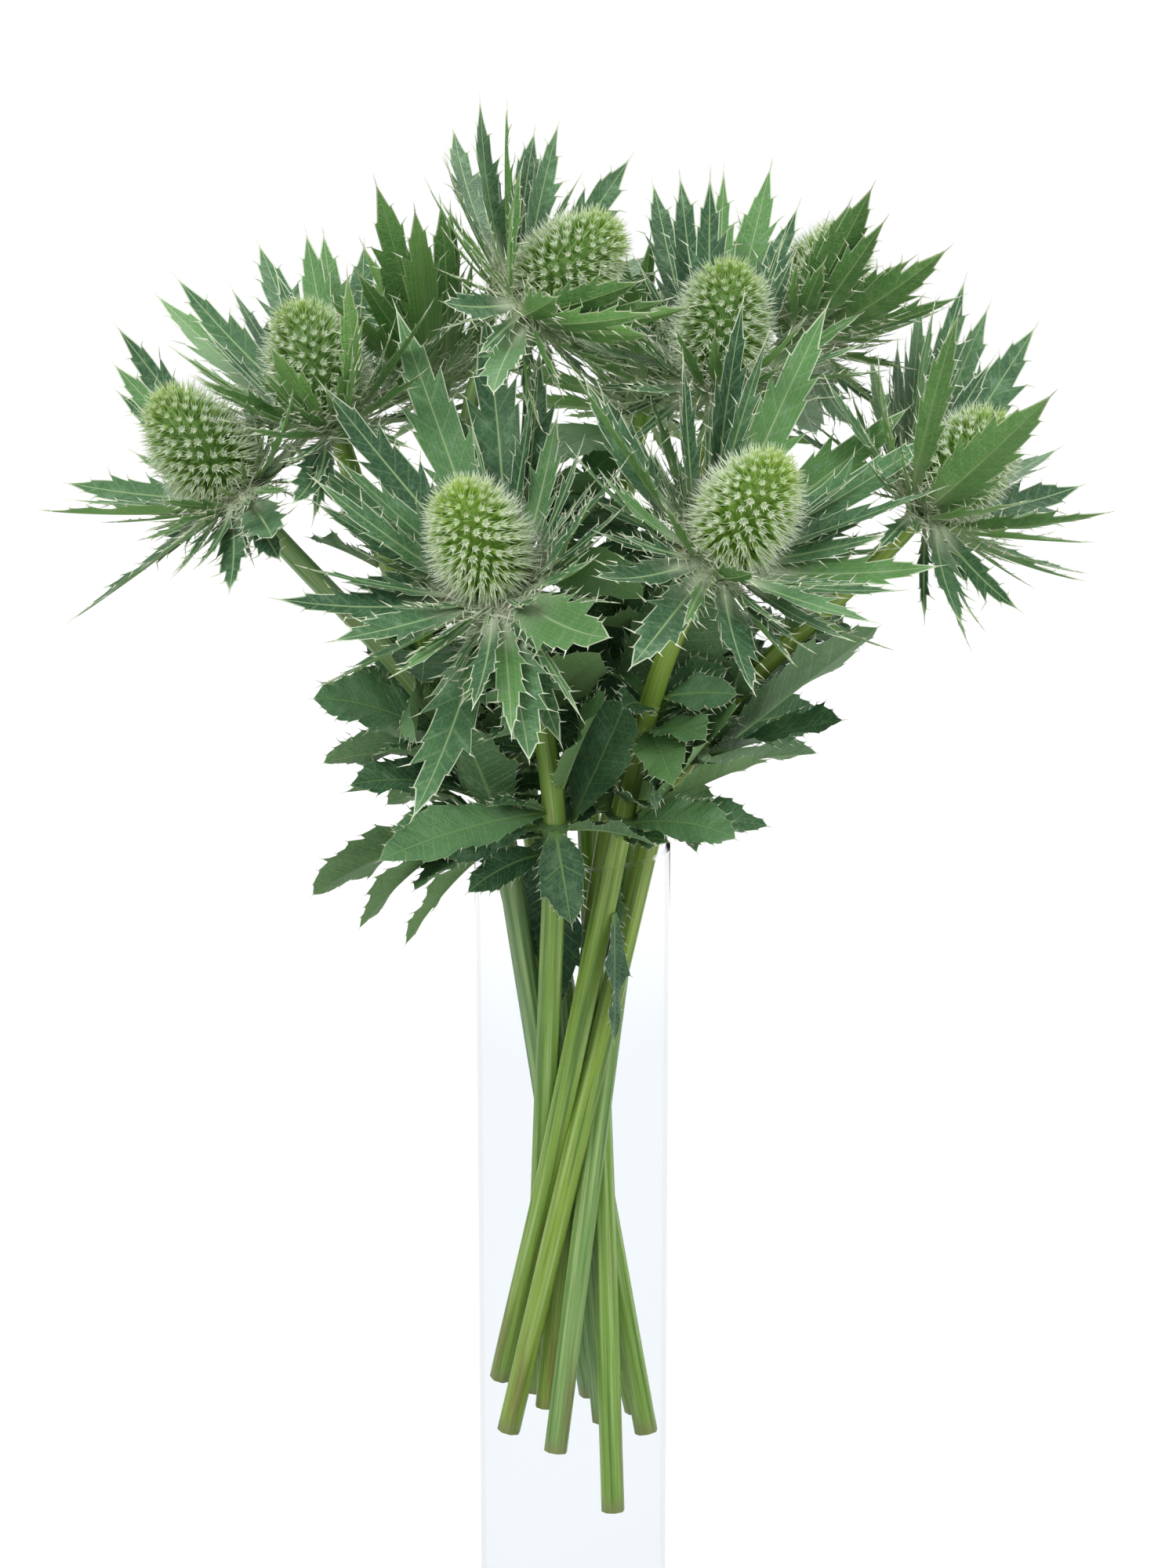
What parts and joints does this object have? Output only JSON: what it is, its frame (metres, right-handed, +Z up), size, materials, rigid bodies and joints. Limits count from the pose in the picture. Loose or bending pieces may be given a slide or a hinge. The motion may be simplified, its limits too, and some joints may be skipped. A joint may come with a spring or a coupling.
{
  "type": "sea holly bunch in a glass cylinder",
  "caption": "Bunch of cut sea holly with spiny toothed bracts round cone-shaped heads, standing in a tall straight clear glass cylinder.",
  "frame": {"origin": "centre of the glass cylinder's underside, on the surface that it stands on", "axes": "+Z up along the cylinder, -Y towards the side that the picture shows, +X to the right there"},
  "size_m": [0.3152, 0.2554, 0.4874],
  "materials": {
    "clear_glass": "polished",
    "stem_green": "satin",
    "leaf_green": "satin",
    "bract_green": "satin",
    "floret_green": "matte"
  },
  "bodies": {
    "root": {"bottle": "clear_glass", "stem_1": "stem_green", "stem_2": "stem_green", "stem_3": "stem_green", "stem_4": "stem_green", "stem_5": "stem_green", "stem_6": "stem_green", "stem_7": "stem_green", "stem_8": "stem_green", "stem_9": "stem_green", "stem_10": "stem_green", "leaves_1": "leaf_green", "leaves_2": "leaf_green", "leaves_3": "leaf_green", "leaves_4": "leaf_green", "leaves_5": "leaf_green", "leaves_6": "leaf_green", "leaves_7": "leaf_green", "leaves_8": "leaf_green", "leaves_9": "leaf_green", "leaves_10": "leaf_green", "bracts_1": "bract_green", "bracts_2": "bract_green", "bracts_3": "bract_green", "bracts_4": "bract_green", "bracts_5": "bract_green", "bracts_6": "bract_green", "bracts_7": "bract_green", "bracts_8": "bract_green", "bracts_9": "bract_green", "bracts_10": "bract_green", "cone_1": "floret_green", "cone_2": "floret_green", "cone_3": "floret_green", "cone_4": "floret_green", "cone_5": "floret_green", "cone_6": "floret_green", "cone_7": "floret_green", "cone_8": "floret_green", "cone_9": "floret_green", "cone_10": "floret_green"}
  },
  "joints": []
}
